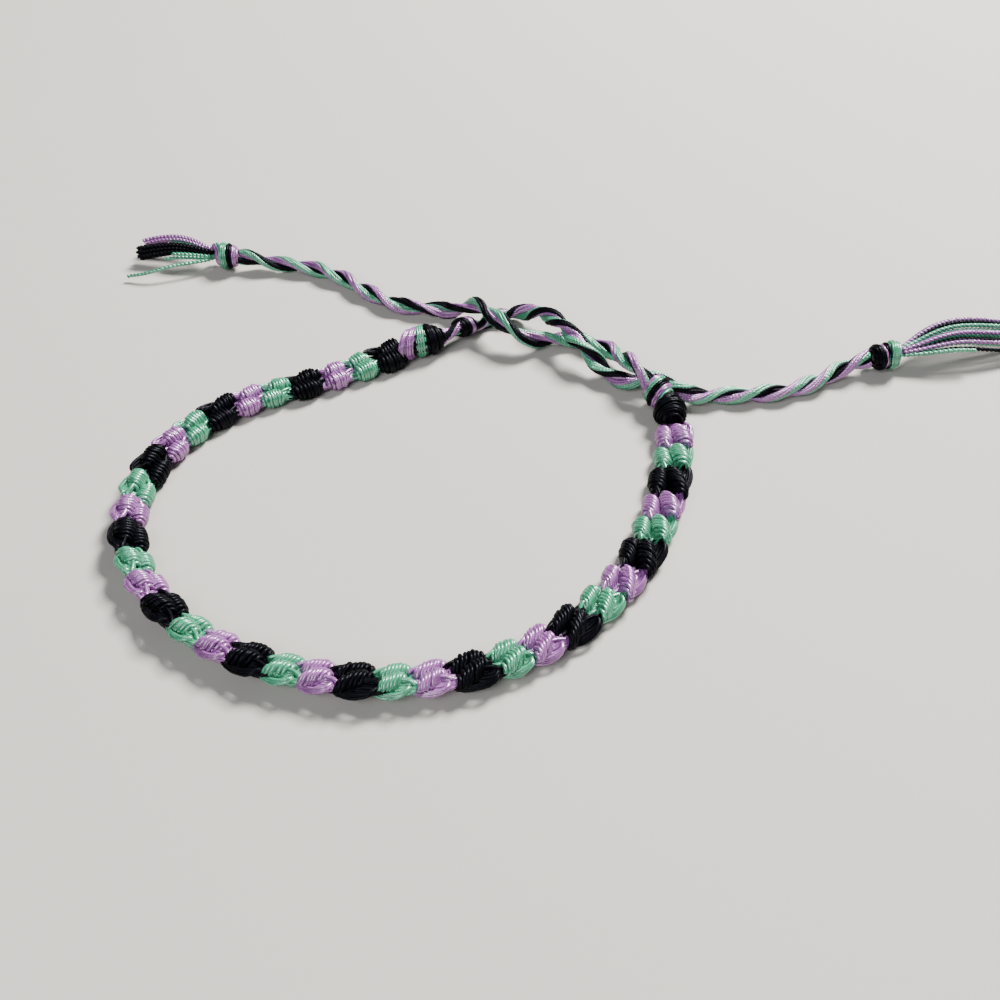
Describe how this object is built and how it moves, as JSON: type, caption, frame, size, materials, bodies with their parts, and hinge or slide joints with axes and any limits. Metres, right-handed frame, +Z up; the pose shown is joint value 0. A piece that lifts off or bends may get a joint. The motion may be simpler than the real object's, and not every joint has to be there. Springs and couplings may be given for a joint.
{
  "type": "woven friendship bracelet",
  "caption": "Knotted thread bracelet in black, mint and lilac, closed by two twisted ties that slide on each other and end in tassels.",
  "frame": {"origin": "on the table below the middle of the closed loop, free ends left out", "axes": "+X to the right across the longer way of the loop, +Y to the back where the ties cross, +Z up out of the table and along the wrist"},
  "size_m": [0.1173, 0.0813, 0.0048],
  "materials": {
    "knotted_thread": "mercerised cotton thread in black, mint and lilac, knotted in rows",
    "twisted_tie": "black, mint and lilac thread twisted into a cord",
    "black_thread": "black mercerised cotton thread, wound",
    "mint_thread": "mint mercerised cotton thread, wound",
    "lilac_thread": "lilac mercerised cotton thread, loose"
  },
  "bodies": {
    "root": {"band": "knotted_thread", "end_knot_left": "black_thread", "end_knot_right": "black_thread", "closure_tie_left": "twisted_tie", "closure_tie_right": "twisted_tie", "slide_knot_left": "twisted_tie", "slide_knot_right": "twisted_tie", "free_end_left": "twisted_tie", "free_end_right": "twisted_tie", "stopper_knot_left": "mint_thread", "stopper_knot_right": "mint_thread", "tassel_left": "lilac_thread", "tassel_right": "lilac_thread"}
  },
  "joints": []
}
